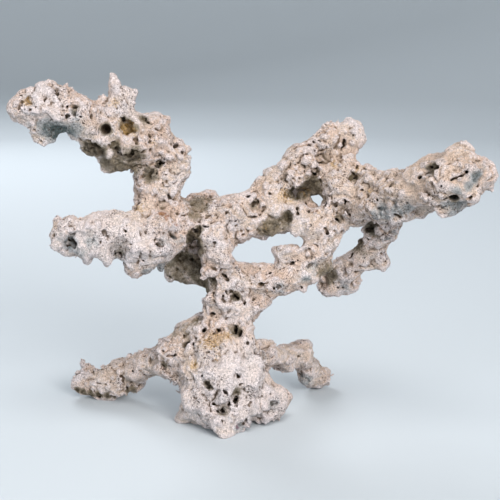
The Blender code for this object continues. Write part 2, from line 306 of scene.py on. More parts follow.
upright = (np.array([1.0, 0, 0]), np.array([0, 1.0, 0]), np.array([0, 0, 1.0]))

# Balls that correct the outline: pixel of the photograph, depth behind the rock's middle, radius
outline = {
    "addedBlend": 5.0, "cutBlend": 3.0,
    "added": [
        (20, 108, -52, 15), (26, 100, -50, 13), (18, 114, -52, 9),  # end of the upper arm
        (116, 80, -15, 5), (114, 76, -15, 4),                       # horns
        (120, 88, -15, 7), (135, 90, -15, 4),
        (158, 118, -5, 9), (166, 118, -5, 6), (171, 122, -5, 5),    # knob on the elbow
        (352, 126, 24, 9), (353, 140, 22, 7), (346, 120, 26, 7),    # peak
        (306, 201, 16, 8), (300, 196, 16, 8), (313, 207, 14, 5),    # floor of the cavity
        (240, 262, -2, 6), (262, 236, 6, 6), (290, 236, 4, 5),      # ring of the window
        (318, 274, -4, 9), (326, 268, 0, 8),                        # under the riser
        (128, 265, -40, 6), (137, 267, -42, 6),                     # under the left arm
        (83, 361, 74, 4), (84, 366, 74, 5),                         # knob on the left foot
        (488, 176, -100, 8), (487, 186, -100, 6),                   # end of the right arm
        (366, 168, 0, 7), (372, 170, -4, 6),                        # saddle by the peak
        (267, 357, -10, 12),                                        # flank of the mound
        (192, 248, 26, 9),                                          # behind the column
        (302, 240, 2, 9), (306, 231, 2, 8),                         # ends of the window
        (247, 270, 2, 7), (254, 272, 2, 7),
        (297, 221, -12, 9), (296, 230, -11, 8),                     # riser's overhang
        (295, 192, 34, 10), (305, 184, 36, 11), (312, 180, 34, 9),  # back of the cavity
        (142, 212, -28, 12),                                        # fork of the left arm
        (203, 203, 27, 11), (210, 202, 27, 9),                      # knob behind the bridge
    ],
    "cut": [
        (92, 92, -22, 9), (80, 90, -26, 8), (100, 93, -20, 6),      # saddle before the horns
        (125, 88, -15, 4), (129, 86, -15, 3),                       # notch between the horns
        (420, 149, -60, 9), (404, 155, -40, 7),                     # top of the right arm
        (356, 150, 24, 5), (361, 146, 22, 6),                       # notch under the peak
        (288, 304, 0, 9), (266, 310, 0, 9),                         # under the strut
        (341, 256, 14, 6), (348, 250, 20, 5),                       # gap by the hanging branch
        (486, 145, -95, 7), (492, 152, -98, 6),                     # corner of the right arm
        (62, 147, -45, 8), (44, 153, -45, 10), (28, 143, -45, 8),   # round the arm's nub
        (21, 84, -52, 8), (29, 83, -50, 6),                         # step behind the arm's tip
    ],
}


def correctOutline(field):
    for u, v, depth, radius in outline["added"]:
        addPod(field, atDepth(u, v, depth), upright, (radius,) * 3, outline["addedBlend"])
    for u, v, depth, radius in outline["cut"]:
        cutPod(field, atDepth(u, v, depth), upright, (radius,) * 3, outline["cutBlend"])


# Horns and spurs that stay crisp: pixel and radius at the root, then at the tip, and their depth
spurs = {
    "balls": 7,                # in a row from root to tip
    "blend": 1.5, "ragged": 0.4, "margin": 3,
    "places": [
        (116, 93, 9, 112, 77, 3.2, -15),                            # tall horn
        (128, 98, 9, 136, 91, 3.0, -15),                            # short horn
        (121, 96, 10, 126, 92, 7, -15),                             # ridge between them
        (117, 86, 5, 113, 76, 3.6, -15),                            # tall horn's tip
        (109, 152, 7, 110, 155, 6, -42),                            # under the upper arm
        (294, 251, 8.5, 275, 250, 5, -8),                           # into the window
        (88, 246, 9, 86, 258, 4, -74),                              # under the left arm
        (98, 245, 12, 108, 261, 5, -71),
        (92, 244, 10, 96, 250, 9, -74),
        (327, 279, 6, 320, 276, 5.5, 50),                           # side of the hanging branch
    ],
}


def addSpurs(field, rough):
    for u, v, root, tipU, tipV, tip, depth in spurs["places"]:
        for share in np.linspace(0, 1, spurs["balls"]):
            centre = atDepth(u + (tipU - u) * share, v + (tipV - v) * share, depth)
            reach = root + (tip - root) * share
            part, offsets = field.near(centre, reach + spurs["margin"])
            ball = podDistance(offsets, upright, (reach,) * 3) + laidOver(rough, part) * spurs["ragged"]
            field.data[part] = smoothLeast(field.data[part], ball, spurs["blend"])


# Chips that the sea and breakage have left: shallow scoops that meet in edges, and small lumps. A power
# over 1 makes the small ones the most common.
chips = {
    "scoops": 1400, "scoopReach": (8, 30), "scoopDepth": (0.8, 3.4), "scoopPower": 1.5,
    "scoopWidth": 1.2,         # times the ring where the scoop's ball leaves the rock
    "scoopEdge": 0.5, "scoopMargin": 2,
    "lumps": 1500, "lumpReach": (2.0, 5.0), "lumpHeight": (0.6, 1.8), "lumpPower": 1.8,
    "lumpBlend": 1.2,
}


def between(low, high, power=1.0):
    return low + (high - low) * chance.random() ** power


def addChips(field, points, normals):
    for at in chance.integers(0, len(points), chips["scoops"]):
        reach = between(*chips["scoopReach"], chips["scoopPower"])
        depth = between(*chips["scoopDepth"], chips["scoopPower"])
        width = math.sqrt(2 * reach * depth) * chips["scoopWidth"]
        part, offsets = field.near(points[at], width + chips["scoopMargin"])
        shift = normals[at] * (reach - depth)
        fromMiddle = np.sqrt(sum((offsets[k] - np.float32(shift[k])) ** 2 for k in range(3)))
        fromPoint = np.sqrt(sum(offsets[k] ** 2 for k in range(3)))
        scoop = np.minimum(np.float32(reach) - fromMiddle, np.float32(width) - fromPoint)
        field.data[part] = smoothMost(field.data[part], scoop, chips["scoopEdge"])
    for at in chance.integers(0, len(points), chips["lumps"]):
        reach = between(*chips["lumpReach"], chips["lumpPower"])
        height = min(between(*chips["lumpHeight"]), reach)
        centre = points[at] - normals[at] * (reach - height)
        addPod(field, centre, upright, (reach,) * 3, chips["lumpBlend"])


pores = {
    "count": 2600,
    "reach": (0.8, 1.7), "reachPower": 3.0,            # half-width, small ones the most common
    "deep": (1.1, 2.2), "long": (1.0, 1.9), "longPower": 2,      # in half-widths
    "lean": 0.45,              # how far they slant
    "sink": 0.3,               # half-widths that the middle lies under the surface
    "edge": 0.4, "ragged": 0.25,
    "block": (96, 16, 21),     # patches that they gather in: steps a side, width, seed
    "crowding": 1.6, "crowdsFrom": 0.6, "crowdEdge": 3, "share": 0.75,
}


def addPores(field, points, normals, rough):
    size, width, seed = pores["block"]
    patch = noiseTile(size, width, field.step, seed)
    spots = chance.integers(0, len(points), pores["count"] * 3)
    cells = np.round((points[spots] - field.low) / field.step).astype(int) % size
    crowd = pores["crowding"] * patch[tuple(cells.T)] - pores["crowdsFrom"]
    liking = 1 / (1 + np.exp(-pores["crowdEdge"] * crowd)) * pores["share"]
    for at in spots[chance.random(len(spots)) < liking][:pores["count"]]:
        reach = between(*pores["reach"], pores["reachPower"])
        lean = normals[at] + chance.normal(0, pores["lean"], 3)
        inward = -lean / np.linalg.norm(lean)
        axes = axesAbout(inward, chance.normal(0, 1, 3))
        deep, long = reach * between(*pores["deep"]), reach * between(*pores["long"], pores["longPower"])
        centre = points[at] + inward * reach * pores["sink"]
        cutPod(field, centre, axes, (deep, long, reach), pores["edge"], rough, pores["ragged"])


# Hollows that the photograph shows: pixel, half-width and half-height in millimetres, depth, and turn in
# degrees
hollows = {
    "upperArm": [
        (27, 101, 6, 4.4, 2.2, 50), (40, 117, 3.6, 3, 3.5, -20), (57, 92, 2.2, 3.4, 4, 0),
        (59, 98, 1.6, 2.4, 4, 0), (63, 106, 1.6, 1.6, 3, 0), (67, 107, 1.8, 1.8, 3, 0),
        (69, 102, 1.8, 1.6, 3, 0), (74, 106, 3.2, 4.6, 5, -10), (75, 113, 2.6, 3.4, 4, 0),
        (66, 116, 3.8, 2.4, 5, 10), (69, 91, 2.6, 1.6, 3, 30), (78, 94, 2.8, 1.6, 3, -20),
        (88, 99, 3, 2, 3, -10), (92, 116, 2.4, 3.2, 3, 0), (80, 116, 1.8, 1.4, 3, 0),
        (106, 129, 6.2, 6.2, 16, 0), (128, 127, 10, 12, 10, 30), (124, 120, 4, 4.5, 13, 0),
        (132, 132, 3, 3, 14, 0), (117, 133, 2.4, 1.2, 4, 40), (116, 140, 1.8, 1.4, 4, 0),
        (118, 154, 24, 5.5, 5, 8), (118, 150, 5, 3.4, 13, -12), (112, 145, 6, 3, 5, 20),
        (134, 153, 9, 4, 8, 18), (96, 146, 6, 5, 7, -30), (92, 142, 5, 2.2, 4, -25),
        (137, 141, 3.2, 4, 4, 30), (144, 119, 5.4, 2.4, 6, -25), (113, 103, 4, 1.4, 2.5, -10),
        (155, 129, 1.6, 2.2, 5, 0), (150, 136, 2, 2.8, 4, 20), (152, 141, 2.6, 2.4, 3, 0),
        (159, 164, 6, 3.6, 13, 20), (163, 158, 3, 1, 4, 25), (175, 147, 6, 2.6, 12, 10),
        (181, 153, 2, 2, 5, 0), (150, 174, 9, 3.6, 9, 15), (111, 88, 1.8, 2.2, 3, 0),
        (139, 107, 3.6, 1.6, 3, -30),
    ],
    "upperNeck": [
        (169, 197, 2.2, 3, 8, 40), (163, 183, 1.6, 1.4, 4, 0), (158, 179, 1.8, 1, 3, 20),
        (166, 175, 1.4, 1.2, 3, 0), (155, 186, 1.6, 1.2, 3, 0), (183, 165, 1.2, 1.8, 3, 0),
        (176, 186, 1.4, 1.4, 3, 0), (151, 194, 1.6, 1.2, 3, 0), (174, 203, 3, 3, 3, 0),
        (166, 210, 3.6, 1.8, 4, -20), (173, 223, 3, 1.6, 4, -30), (145, 224, 2.6, 1.6, 4, 0),
        (142, 217, 2, 1.2, 3, 0), (184, 217, 3, 3, 3, 0), (177, 212, 1.6, 3, 3, 10),
    ],
    "leftArm": [
        (71, 243, 8.6, 6.6, 9, 0), (75, 229, 2, 2, 4, 0), (53, 236, 2.4, 1.8, 4, 0),
        (55, 228, 2, 1.6, 3, 0), (119, 255, 6.5, 4.6, 10, -15), (139, 260, 2, 4.4, 5, -20),
        (159, 243, 6, 4.6, 5, -15), (174, 236, 5.4, 4.4, 4, -20), (140, 236, 2, 4, 3, -15),
        (103, 236, 7, 5, 1.6, 0), (88, 243, 7, 3, 2, 20), (120, 222, 3, 1.4, 2, 0),
        (97, 223, 2, 1.2, 2, 0), (143, 262, 2.4, 1.4, 5, 0), (66, 250, 3, 2, 4, 0),
    ],
    "column": [
        (204, 228, 6.5, 2.8, 10, 25), (179, 257, 4.4, 6.5, 9, 0), (195, 245, 5, 11, 18, -5),
        (187, 247, 4, 5, 8, 0), (197, 231, 6, 3.2, 12, 20), (176, 269, 3, 2, 6, 0),
        (186, 272, 2.4, 3, 7, 10), (199, 271, 2.2, 3.4, 7, 20), (192, 261, 2.6, 3, 8, 0),
        (170, 276, 2, 2, 5, 0), (203, 284, 3, 2, 6, 0), (214, 241, 1.8, 4.6, 5, 20),
        (213, 247, 2.2, 1.6, 6, 0), (212, 268, 5, 3, 2.5, -30), (225, 275, 4, 2.6, 10, -20),
        (227, 280, 2, 2.6, 7, -40), (212, 280, 7.5, 3, 8, 15), (221, 270, 3.4, 2, 4, 20),
        (205, 251, 1.6, 4, 3, 0), (236, 222, 2.6, 2, 4, 0), (235, 226, 3, 1.8, 4, 0),
        (241, 231, 1.6, 1.6, 4, 0), (208, 216, 4, 1.6, 3, 20), (228, 206, 4.6, 1.8, 3, 15),
        (227, 213, 2, 2, 3, 0),
    ],
    "trunk": [
        (229, 293, 6, 2.4, 12, 12), (238, 298, 6, 2.6, 14, -30), (213, 315, 3, 3, 5, 0),
        (221, 316, 2.8, 2.6, 6, 0), (203, 330, 4.4, 2.4, 9, 10), (218, 330, 5.4, 2.6, 9, 20),
        (236, 331, 3.2, 6.4, 12, -20), (240, 334, 4.6, 2.6, 9, 35), (224, 324, 3.4, 3, 4, 0),
        (207, 299, 2.4, 1.6, 4, 0), (245, 304, 3, 3, 4, 0), (252, 290, 2.4, 1.8, 4, 0),
        (214, 303, 3.6, 1.8, 3, -10),
    ],
    "bridge": [
        (255, 204, 6, 3.6, 5, 15), (249, 196, 3.2, 1.4, 14, -10), (288, 219, 4.6, 7, 5, 0),
        (281, 224, 5, 7, 2.5, 20), (298, 211, 2.2, 4.6, 5, 10), (309, 211, 1.8, 2, 4, 0),
        (316, 212, 2, 2.6, 4, 0), (262, 208, 2.4, 1.8, 3, 0),
    ],
    "peak": [
        (293, 192, 4, 3, 4, -30), (319, 182, 3.6, 4, 5, 30), (292, 187, 2, 3.4, 5, 30),
        (316, 201, 4.6, 6.6, 40, -30), (314, 175, 3, 3.8, 8, 10), (309, 145, 2, 2, 5, 0),
        (314, 142, 2, 1.6, 5, 0), (319, 141, 2.2, 2, 4, 0), (313, 151, 2.2, 1.8, 5, 0),
        (319, 151, 1.6, 1.8, 4, 0), (344, 143, 2.6, 6.4, 8, -25), (354, 177, 5.4, 4.4, 5, 0),
        (338, 170, 1.3, 1.3, 5, 0), (284, 195, 3, 2.4, 5, 0), (325, 129, 1.6, 2, 3, 0),
        (349, 127, 1.2, 1.6, 3, 0), (353, 135, 1.2, 1.4, 3, 0), (302, 168, 1.4, 1.4, 3, 0),
        (280, 184, 1.6, 1.6, 3, 0), (335, 205, 5, 4, 6, 40), (339, 219, 5, 5.6, 7, 20),
        (328, 204, 3.6, 2.4, 6, 25), (361, 171, 2.8, 1.4, 4, 20),
    ],
    "rightArm": [
        (428, 171, 5.4, 3.6, 9, 25), (436, 166, 6, 3.4, 9, 30), (431, 168, 3, 2.4, 12, 0),
        (420, 177, 4.6, 1.2, 6, 35), (402, 172, 3.6, 1.4, 7, 0), (460, 176, 10, 1.2, 5, 25),
        (467, 172, 2, 1.8, 6, 0), (441, 185, 1.4, 2.6, 5, 25), (454, 197, 6.4, 4.2, 15, -8),
        (362, 190, 3.2, 1.6, 6, -15), (367, 195, 3, 2.6, 7, -40), (376, 199, 1.2, 4.6, 5, 25),
        (379, 209, 5, 1.8, 6, 0), (397, 215, 6, 2.4, 10, -12), (408, 205, 1.4, 3, 5, 25),
        (452, 155, 5.4, 1.8, 3, 10), (446, 199, 3.4, 1.2, 5, 35), (440, 216, 2.4, 1.8, 6, 0),
        (412, 213, 2.6, 1.4, 4, 0), (470, 198, 3.4, 1.8, 4, 30), (419, 182, 1.4, 1.4, 3, 0),
        (428, 179, 3.4, 1.2, 3, 0), (391, 186, 1.6, 2, 3, 0), (345, 202, 3, 6, 6, 10),
        (348, 215, 3, 3, 6, 0),
    ],
    "strut": [
        (287, 260, 3.4, 0.9, 3, 25), (296, 257, 4, 1.1, 4, 20), (304, 252, 3, 1.3, 4, 35),
        (310, 249, 2.4, 1.4, 4, 10), (293, 263, 6, 1.8, 5, 20), (269, 273, 2.6, 1.6, 5, 20),
        (283, 269, 3.6, 1.3, 5, 20), (281, 273, 2, 1.2, 4, 0), (310, 266, 4, 2.4, 4, 25),
        (262, 284, 4.4, 2.4, 4, 15), (278, 287, 5, 3, 5, 10), (327, 232, 2.2, 4.4, 5, 15),
        (342, 232, 2.4, 3.4, 4, 10),
    ],
    "hangingBranch": [
        (373, 228, 8, 5.4, 7, 25), (368, 239, 2.6, 2, 6, 20), (341, 289, 5.4, 4.4, 5, 0),
        (371, 271, 3, 1.2, 4, 20), (387, 240, 3.4, 3.4, 4, 0), (352, 255, 3, 2, 4, 25),
        (332, 281, 3, 3, 4, 0), (345, 275, 3, 2, 3, 20),
    ],
    "mound": [
        (187, 344, 4.6, 5.8, 7, 15), (194, 364, 3, 1.6, 4, 30), (172, 356, 4.6, 1.6, 6, 10),
        (163, 366, 2.4, 6.6, 7, 0), (262, 356, 5.6, 5.6, 6, 0), (278, 367, 2.4, 4, 4, -20),
        (239, 376, 5, 1.8, 10, -10), (236, 374, 2, 2.4, 8, 0), (209, 385, 5.4, 4, 12, -15),
        (207, 377, 2, 4, 7, 0), (201, 376, 3, 1.2, 4, 10), (236, 400, 3.4, 9, 18, -8),
        (229, 404, 4, 3, 14, 30), (251, 404, 3.6, 15, 3, 12), (213, 405, 9, 2.4, 8, -25),
        (197, 403, 8, 2, 3.5, -30), (244, 388, 6, 2.2, 5, -35), (262, 384, 8, 2.2, 3, 25),
        (226, 392, 4, 3.4, 7, 0), (222, 411, 9, 3.8, 18, 5), (247, 423, 7, 3.4, 9, 20),
        (271, 404, 4.4, 6.4, 2.6, 10), (268, 412, 3, 2, 4, 0), (203, 410, 3, 1.4, 3, -60),
        (223, 421, 2.6, 1.2, 3, 0), (277, 404, 1.2, 2, 3, 0), (209, 352, 2, 1.2, 3, 0),
        (252, 381, 2, 1.4, 3, 0), (214, 347, 2, 1.2, 3, 0), (243, 423, 5, 3, 5, 20),
        (290, 358, 4.6, 1.4, 3, 0), (301, 357, 3, 1.4, 3, -20), (178, 397, 4, 1.6, 4, -20),
    ],
    "leftFoot": [
        (123, 380, 3.6, 4.4, 6, 30), (127, 390, 3, 4, 8, 20), (100, 398, 5, 2, 5, 0),
        (107, 384, 5, 1.6, 3, 20), (87, 385, 5, 1.4, 3, -20), (112, 395, 4, 1.4, 5, 0),
        (145, 377, 2, 3, 3, -30), (133, 371, 2, 1.4, 3, 0),
    ],
}
bored = [(106, 129), (454, 197)]       # of these, the straight round holes with a clean edge

# Thick lips round some of them: pixel, half-width and half-height
rims = [(106, 129, 9.5, 8.0), (130, 126, 12.5, 13.5), (454, 197, 9.5, 7.5), (262, 356, 8.0, 8.0)]

carving = {
    "lean": 0.6,               # how far a hollow turns from the line of sight to go straight in
    "sink": 0.2,               # share of its depth that its middle lies under the surface
    "worn": (0.8, 1.3), "bored": (0.4, 0.1),           # how soft the edge is, and how ragged
    "rimHeight": 3.4, "rimBlend": 2.0,
}


def firstHit(field, u, v):              # where a line of sight meets the rock, the way out, and the line
    line = sightLine(u, v)
    nearest, farthest, stride = 1200, 1750, 0.6
    points = eye + line * np.arange(nearest, farthest, stride)[:, None]
    inside = np.nonzero(field.at(points) < 0)[0]
    box = field.low + (np.array(field.data.shape) - 1) * field.step
    nudge = 2
    for at in inside:
        if (points[at] > field.low).all() and (points[at] < box).all():
            slope = [field.at((points[at] + axis * nudge)[None])[0]
                     - field.at((points[at] - axis * nudge)[None])[0] for axis in upright]
            return points[at], np.array(slope) / np.linalg.norm(slope), line
    return None, None, line


def addHollows(field, smooth, rough):
    for u, v, wide, high in rims:
        point, outward, line = firstHit(smooth, u, v)
        reaches = (carving["rimHeight"], wide, high)
        addPod(field, point, axesAbout(-outward, rightward), reaches, carving["rimBlend"])
    missed = 0
    for group in hollows.values():
        for u, v, wide, high, deep, turn in group:
            point, outward, line = firstHit(smooth, u, v)
            if point is None:
                missed += 1
                continue
            inward = line - outward * carving["lean"]
            inward = inward / np.linalg.norm(inward)
            angle = math.radians(turn)
            axes = axesAbout(inward, rightward * math.cos(angle) + upward * math.sin(angle))
            centre = point + inward * deep * carving["sink"]
            edge, ragged = carving["bored" if (u, v) in bored else "worn"]
            cutPod(field, centre, axes, (deep, wide, high), edge, rough, ragged)
    print("hollows cut, pixels off the rock:", missed)


def fillAround(field, width):           # share of a neighbourhood about this wide that is rock
    solid = np.clip(0.5 - field.data / (2 * field.step), 0, 1)
    even = [count // 2 * 2 for count in solid.shape]
    pairs = solid[:even[0], :even[1], :even[2]].reshape(even[0] // 2, 2, even[1] // 2, 2, even[2] // 2, 2)
    step = field.step * 2
    return Field(field.low + field.step / 2, step, blur(pairs.mean(axis=(1, 3, 5)), width / step))


# Stained patches, and patches of painted shade and painted cool reflection, that the photograph shows:
# pixel, half-width in millimetres and strength. A fifth number says how far inside a hollow one lies.
stainsAndShade = {
    "ochre": [
        (128, 128, 9, 0.9), (123, 121, 6, 0.7), (133, 133, 7, 0.8), (128, 129, 9, 1.5, 7),
        (132, 124, 6, 1.4, 8), (27, 102, 6, 1.1), (265, 226, 8, 0.5), (27, 100, 8, 0.7),
        (113, 102, 8, 0.9), (132, 108, 6, 0.5), (154, 142, 7, 0.7), (148, 150, 6, 0.4),
        (136, 210, 12, 0.9), (124, 206, 8, 0.5), (161, 215, 7, 0.6), (150, 212, 8, 0.5),
        (284, 195, 9, 1.0), (291, 199, 7, 0.8), (272, 182, 9, 0.5), (262, 187, 9, 0.5),
        (334, 162, 7, 0.9), (362, 171, 9, 0.8), (325, 182, 9, 0.6), (304, 190, 9, 0.7),
        (369, 190, 6, 0.9), (393, 186, 5, 0.7), (403, 167, 8, 0.5), (428, 179, 5, 0.7),
        (212, 340, 15, 1.0), (222, 337, 11, 1.0), (204, 344, 11, 0.8), (193, 364, 8, 1.0),
        (196, 372, 5, 0.7), (218, 356, 8, 0.7), (187, 334, 10, 0.4), (266, 290, 8, 0.5),
        (258, 284, 9, 0.5), (212, 245, 5, 0.5), (205, 251, 6, 0.5), (316, 213, 7, 0.6),
        (310, 222, 9, 0.3), (278, 272, 8, 0.4), (176, 378, 8, 0.3), (115, 378, 7, 0.5),
        (245, 306, 8, 0.4), (352, 180, 7, 0.4), (302, 257, 5, 0.2),
    ],
    "rust": [
        (31, 99, 3.4, 0.9), (131, 129, 4, 0.7), (162, 214, 6, 1.3), (167, 218, 5, 1.1),
        (145, 224, 3.4, 0.7), (176, 224, 4, 0.8), (228, 205, 5, 0.6), (245, 291, 8, 0.5),
        (248, 296, 5, 0.6), (242, 304, 5, 0.6), (265, 292, 4, 0.6), (264, 332, 4, 0.7),
        (187, 344, 6, 0.6), (277, 367, 5, 0.7), (258, 272, 5, 0.5), (298, 211, 4, 0.4),
        (316, 212, 4, 0.7), (308, 193, 4, 0.5), (284, 197, 3, 0.7), (311, 172, 4, 0.5),
        (365, 193, 4, 0.5), (175, 147, 4, 0.4), (203, 212, 6, 0.5), (213, 219, 4, 0.5),
    ],
    # dark blue-grey: painted cool reflection and painted shade on undersides
    "slateBounce": [
        (48, 128, 11, 0.9), (58, 132, 14, 1.1), (68, 132, 12, 0.9), (76, 128, 9, 0.7), (42, 126, 8, 0.7),
        (71, 243, 10, 0.8), (80, 251, 9, 0.6), (92, 240, 10, 0.5), (60, 238, 7, 0.4), (160, 270, 14, 0.8),
        (148, 272, 10, 0.6), (171, 262, 8, 0.5), (120, 258, 8, 0.6), (166, 241, 9, 0.4),
        (178, 238, 8, 0.4), (383, 213, 12, 0.7), (375, 216, 8, 0.7), (397, 211, 9, 0.7),
        (408, 209, 8, 0.7), (370, 222, 9, 0.6), (477, 178, 8, 0.9), (468, 186, 7, 0.7),
        (457, 191, 8, 0.5), (457, 207, 12, 0.8), (447, 203, 7, 0.7), (484, 168, 6, 0.4),
        (398, 204, 8, 0.4), (385, 199, 8, 0.3), (375, 228, 10, 0.6), (293, 374, 10, 0.8),
        (306, 380, 9, 0.7), (283, 372, 8, 0.6), (240, 427, 8, 0.6), (229, 418, 9, 0.3),
        (345, 290, 9, 0.5), (386, 238, 7, 0.5), (395, 231, 6, 0.4), (150, 391, 9, 0.5),
        (252, 418, 8, 0.5), (75, 118, 9, 0.4), (314, 268, 10, 0.4), (307, 279, 6, 0.7),
        (281, 288, 10, 0.4), (272, 405, 9, 0.5), (250, 356, 8, 0.3),
    ],
    # very dark brown: painted shade in recesses, under limbs and behind the column, with some brown dirt
    "umberShade": [
        (98, 150, 11, 1.0), (90, 146, 9, 1.0), (133, 154, 12, 1.0), (195, 243, 9, 1.6),
        (192, 236, 6, 1.4), (195, 240, 8, 1.8, 10), (195, 249, 8, 1.8, 10), (237, 331, 6, 1.3, 8),
        (233, 295, 6, 1.4, 9), (199, 231, 6, 1.2), (178, 256, 5, 1.4), (159, 164, 4, 1.2),
        (209, 384, 4, 1.3), (236, 400, 4, 1.2), (222, 411, 5, 1.2), (120, 166, 14, 0.8),
        (108, 164, 12, 0.8), (133, 168, 12, 0.7), (88, 152, 9, 0.8), (150, 175, 10, 0.8),
        (196, 202, 14, 0.7), (206, 199, 11, 0.5), (194, 246, 13, 1.0), (182, 260, 12, 0.85),
        (196, 268, 15, 0.85), (172, 270, 12, 0.7), (202, 286, 13, 0.8), (281, 224, 13, 0.55),
        (270, 230, 12, 0.8), (78, 389, 5, 1.0), (84, 392, 5, 1.0), (91, 394, 5, 1.0), (99, 395, 5, 1.0),
        (108, 395, 5, 1.0), (116, 395, 5, 0.9), (302, 189, 13, 1.0), (311, 185, 11, 1.0),
        (295, 193, 9, 1.0), (316, 196, 10, 0.7), (287, 217, 8, 0.8), (270, 228, 11, 0.8),
        (262, 232, 9, 0.6), (362, 230, 10, 0.7), (358, 244, 11, 0.7), (372, 226, 10, 0.8),
        (326, 272, 12, 0.7), (331, 274, 9, 0.9), (329, 281, 7, 0.7), (432, 168, 7, 1.0),
        (238, 331, 5, 1.0), (236, 297, 6, 1.1), (164, 365, 5, 0.8), (131, 392, 7, 0.9),
        (128, 384, 6, 0.6), (178, 334, 9, 0.4), (127, 124, 9, 0.9), (134, 129, 6, 0.7),
        (106, 129, 7, 1.0), (116, 147, 7, 0.9), (132, 150, 9, 0.7), (112, 158, 10, 0.5),
        (98, 152, 9, 0.5), (149, 172, 8, 0.7), (144, 119, 7, 0.6), (75, 108, 6, 0.5), (200, 206, 12, 0.6),
        (194, 213, 10, 0.6), (190, 262, 14, 0.8), (178, 272, 12, 0.6), (197, 278, 13, 0.7),
        (181, 282, 12, 0.6), (206, 292, 10, 0.6), (196, 243, 9, 0.9), (289, 219, 6, 0.8),
        (276, 226, 10, 0.7), (262, 230, 8, 0.5), (255, 204, 7, 0.5), (300, 192, 8, 0.9),
        (316, 190, 8, 0.8), (429, 170, 5, 0.8), (354, 177, 6, 0.7), (339, 219, 6, 0.6),
        (235, 331, 8, 0.8), (209, 384, 7, 0.8), (236, 392, 7, 0.7), (223, 411, 7, 0.8),
        (271, 403, 6, 0.4), (262, 356, 6, 0.5), (373, 230, 9, 0.6), (196, 322, 10, 0.5),
        (186, 328, 9, 0.4), (344, 144, 4, 0.6), (314, 175, 4, 0.7), (364, 253, 8, 0.3),
        (212, 280, 8, 0.7), (187, 344, 6, 0.8), (454, 197, 6, 0.8), (119, 255, 6, 0.6),
        (300, 380, 6, 0.5),
    ],
    "plum": [(238, 427, 4.2, 1.0)],
    "tan": [
        (432, 178, 48, 0.8), (400, 186, 40, 0.8), (365, 192, 35, 0.7), (328, 158, 36, 0.6),
        (300, 172, 30, 0.5), (335, 212, 28, 0.5), (120, 376, 36, 0.5), (262, 200, 30, 0.4),
    ],
    "frost": [
        (236, 392, 52, 0.9), (256, 372, 40, 0.8), (200, 410, 36, 0.8), (270, 404, 30, 0.8),
        (100, 240, 44, 0.7), (150, 250, 36, 0.6), (40, 104, 32, 0.6), (240, 312, 26, 0.5),
        (214, 250, 24, 0.5), (128, 96, 30, 0.6),
    ],
}
markFade = 1.6                         # half-widths out to which each mark, stained patch or painted shade, fades away


def stainAndShadeMarks(smooth, points):
    marks = {}
    for colour, spots in stainsAndShade.items():
        mark = np.zeros(len(points))
        for u, v, reach, strength, *inward in spots:
            point, outward, line = firstHit(smooth, u, v)
            if point is None:
                continue
            point = point + line * sum(inward)
            close = np.nonzero((np.abs(points - point) < reach * markFade).all(axis=1))[0]
            gap = np.linalg.norm(points[close] - point, axis=1) / reach
            mark[close] = np.maximum(mark[close], strength * np.clip(markFade - gap, 0, 1))
        marks[colour] = mark
    return marks


def islandsOf(count, pairs):            # the group that each thing belongs to, given linked pairs
    group = np.arange(count)
    while True:
        first, second = group[pairs[:, 0]], group[pairs[:, 1]]
        if (first == second).all():
            return group
        np.minimum.at(group, np.maximum(first, second), np.minimum(first, second))
        while (group[group] != group).any():
            group = group[group]


def mainBody(points, quads):            # leaves out crumbs that carving has cut loose
    pairs = np.concatenate([quads[:, [0, 1]], quads[:, [1, 2]], quads[:, [2, 3]]])
    group = islandsOf(len(points), pairs)
    kept = group == np.bincount(group).argmax()
    return quads[kept[quads[:, 0]]]


def neighbourPairs(quads):              # quads that share an edge
    ends = np.concatenate([quads, np.roll(quads, -1, axis=1)]).reshape(2, -1)
    keys = np.minimum(*ends) * (quads.max() + 1) + np.maximum(*ends)
    face = np.repeat(np.arange(len(quads)), 4)
    order = np.argsort(keys, kind="stable")
    same = np.nonzero(keys[order][1:] == keys[order][:-1])[0]
    return np.stack([face[order[same]], face[order[same + 1]]], axis=1)


# Each quad of the skin belongs to the limb whose solid lies nearest
parting = {
    "smallestIsland": 400,     # quads; a smaller one goes to the limb beside it
    "rounds": 4,
}


def limbNumbers(points, quads, names, cadPoints, triangles, owners):
    tree = BVHTree.FromPolygons(cadPoints.tolist(), triangles.tolist())
    number = [names.index(owner) for owner in owners]
    centres = points[quads].mean(axis=1)
    limb = np.array([number[tree.find_nearest(Vector(centre))[2]] for centre in centres])
    pairs = neighbourPairs(quads)
    for _ in range(parting["rounds"]):
        island = islandsOf(len(quads), pairs[limb[pairs[:, 0]] == limb[pairs[:, 1]]])
        small = np.bincount(island, minlength=len(quads))[island] < parting["smallestIsland"]
        first, second = pairs[:, 0], pairs[:, 1]
        edge = (limb[first] != limb[second]) & (small[first] | small[second])
        first, second = first[edge], second[edge]
        swap = small[second] & ~small[first]
        first, second = np.where(swap, second, first), np.where(swap, first, second)
        taken = np.full(len(quads), -1)
        taken[island[first]] = limb[second]
        limb = np.where(small & (taken[island] >= 0), taken[island], limb)
    return limb


def closeCuts(points, quads):           # caps a limb's open ends with triangles round a middle point
    starts, ends = quads, np.roll(quads, -1, axis=1)
    keys = (starts * len(points) + ends).ravel()
    opposite = (ends * len(points) + starts).ravel()
    rim = ~np.isin(opposite, keys)
    starts, ends = starts.ravel()[rim], ends.ravel()[rim]
    spots = np.unique(starts)
    first, last = np.searchsorted(spots, starts), np.searchsorted(spots, ends)
    loop = islandsOf(len(spots), np.stack([first, last], axis=1))[first]
    numbers, loop = np.unique(loop, return_inverse=True)
    middles = [points[starts[loop == number]].mean(axis=0) for number in range(len(numbers))]
    return np.array(middles).reshape(-1, 3), np.stack([ends, starts, len(points) + loop], axis=1)


